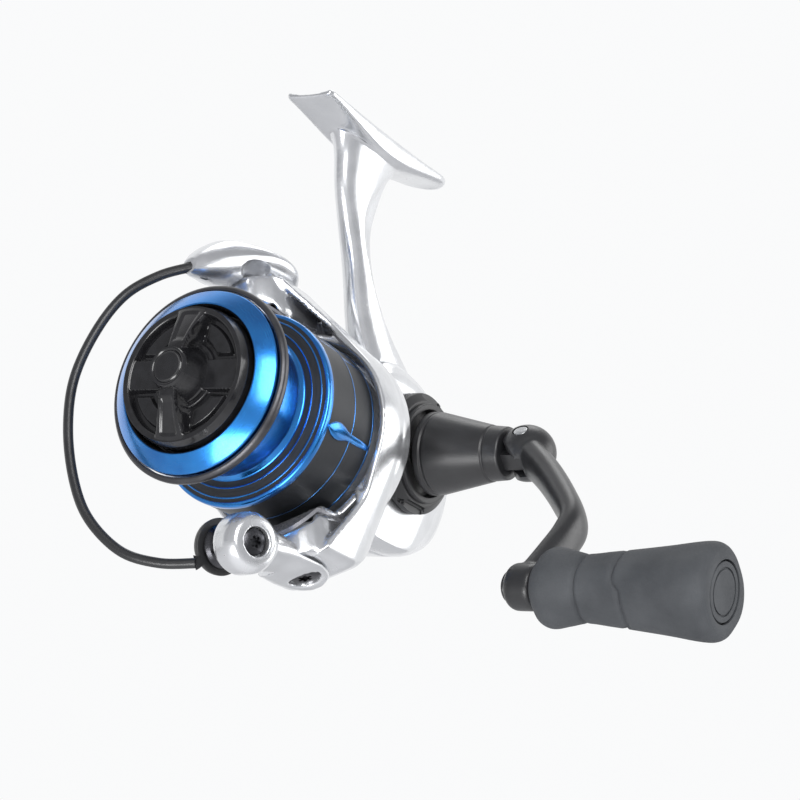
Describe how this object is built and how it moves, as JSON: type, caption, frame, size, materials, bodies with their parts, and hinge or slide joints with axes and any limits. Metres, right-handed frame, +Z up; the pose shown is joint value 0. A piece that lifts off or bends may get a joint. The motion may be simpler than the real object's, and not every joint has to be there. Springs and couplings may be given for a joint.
{
  "type": "spinning reel",
  "caption": "Spinning fishing reel hung from a curved foot: drive case, turning rotor with bail wire and line roller, sliding spool with front drag knob, folding side handle.",
  "frame": {"origin": "middle of the hollow flat along the top of the foot, where the foot lies in a rod's reel seat", "axes": "+X to the handle's side, +Y to the rear of the reel (the rod's butt), +Z up into the rod; the spool and rotor turn about Y"},
  "size_m": [0.1477, 0.1096, 0.1238],
  "materials": {
    "silver_finish": "smooth silver coat, semi-gloss",
    "blue_anodised": "bright blue anodising with fine turning marks",
    "dark_metal": "dark grey polished metal",
    "gloss_black": "gloss black moulding",
    "black_plastic": "satin black moulding",
    "black_metal": "satin black coat on metal",
    "knob_rubber": "matte blue-grey soft grip",
    "steel": "turned steel",
    "brass": "machined brass",
    "felt": "dense dark felt",
    "nylon": "natural nylon"
  },
  "bodies": {
    "reel_body": {"body_housing": "silver_finish", "side_cover": "silver_finish", "cover_screw_1": "steel", "cover_screw_2": "steel", "cover_screw_3": "steel", "bearing_cover": "black_plastic", "rear_guard": "black_plastic", "opposite_side_cap": "black_plastic", "one_way_clutch": "steel", "pinion_bearing_front": "steel", "pinion_bearing_rear": "steel", "guide_rod": "steel", "drive_bearing_left": "steel", "drive_bearing_right": "steel"},
    "drive_train": {"drive_gear": "brass", "drive_shaft": "steel", "traverse_pinion": "brass", "handle_shank": "black_metal", "fold_pin": "steel"},
    "crank_arm": {"handle_arm": "black_metal", "knob_spindle": "steel"},
    "handle_grip": {"handle_knob": "knob_rubber", "knob_cap": "knob_rubber", "knob_bearing_inner": "steel", "knob_bearing_outer": "steel"},
    "rotor_head": {"rotor": "silver_finish", "arm_cover_upper": "dark_metal", "arm_cover_lower": "dark_metal", "arm_cover_screw_upper": "steel", "arm_cover_screw_lower": "steel", "rotor_nut": "brass", "kick_spring": "steel", "kick_spring_guide": "nylon", "pinion_gear": "brass", "clutch_sleeve": "steel"},
    "bail": {"bail_lever": "silver_finish", "roller_arm": "silver_finish", "bail_wire": "black_metal", "wire_cover": "black_plastic", "roller_screw": "steel", "pivot_screw_upper": "steel", "pivot_screw_lower": "steel", "kick_cam": "nylon"},
    "line_guide": {"line_roller": "dark_metal"},
    "traverse_drive": {"traverse_gear": "nylon"},
    "spool_shaft": {"main_shaft": "steel", "traverse_slider": "nylon", "click_gear": "brass", "keyed_washer_rear": "steel", "keyed_washer_front": "steel"},
    "spool_set": {"spool": "blue_anodised", "spool_lip_ring": "dark_metal", "line_clip": "blue_anodised", "drag_washer_rear": "felt", "drag_washer_middle": "felt", "drag_washer_front": "felt", "drag_retainer": "steel"},
    "drag_adjuster": {"drag_knob": "gloss_black", "drag_nut": "brass", "drag_spring": "steel"}
  },
  "joints": [
    {"name": "handle_spin", "type": "hinge", "parent": "reel_body", "child": "drive_train", "pos_m": [0, 0.0212, -0.07234], "axis": [1, 0, 0], "continuous": true},
    {"name": "rotor_spin", "type": "hinge", "parent": "reel_body", "child": "rotor_head", "pos_m": [0, 0, -0.07834], "axis": [0, 1, 0], "continuous": true},
    {"name": "traverse_spin", "type": "hinge", "parent": "reel_body", "child": "traverse_drive", "pos_m": [0, 0.03361, -0.07654], "axis": [1, 0, 0], "continuous": true},
    {"name": "spool_stroke", "type": "slide", "parent": "reel_body", "child": "spool_shaft", "axis": [0, 1, 0], "range_m": [-0.003, 0.009]},
    {"name": "spool_drag_spin", "type": "hinge", "parent": "spool_shaft", "child": "spool_set", "pos_m": [0, 0, -0.07834], "axis": [0, 1, 0], "continuous": true},
    {"name": "drag_knob_turn", "type": "hinge", "parent": "spool_shaft", "child": "drag_adjuster", "pos_m": [0, 0, -0.07834], "axis": [0, 1, 0], "range_deg": [-360, 720]},
    {"name": "bail_open", "type": "hinge", "parent": "rotor_head", "child": "bail", "pos_m": [0, -0.0168, -0.07834], "axis": [-0.3746, 0, 0.9272], "range_deg": [0, 90]},
    {"name": "line_roller_spin", "type": "hinge", "parent": "bail", "child": "line_guide", "pos_m": [0.01115, -0.0388, -0.1118], "axis": [0.9401, -0.3409, 0.0014], "continuous": true},
    {"name": "handle_fold", "type": "hinge", "parent": "drive_train", "child": "crank_arm", "pos_m": [0.0436, 0.0212, -0.07234], "axis": [0, 0.7771, -0.6293], "range_deg": [0, 30]},
    {"name": "handle_knob_spin", "type": "hinge", "parent": "crank_arm", "child": "handle_grip", "pos_m": [0.09, -0.01152, -0.11275], "axis": [1, 0, 0], "continuous": true}
  ],
  "couplings": [
    {"joint": "rotor_spin", "follows": "handle_spin", "ratio": -5.2},
    {"joint": "traverse_spin", "follows": "handle_spin", "ratio": -0.54167}
  ]
}
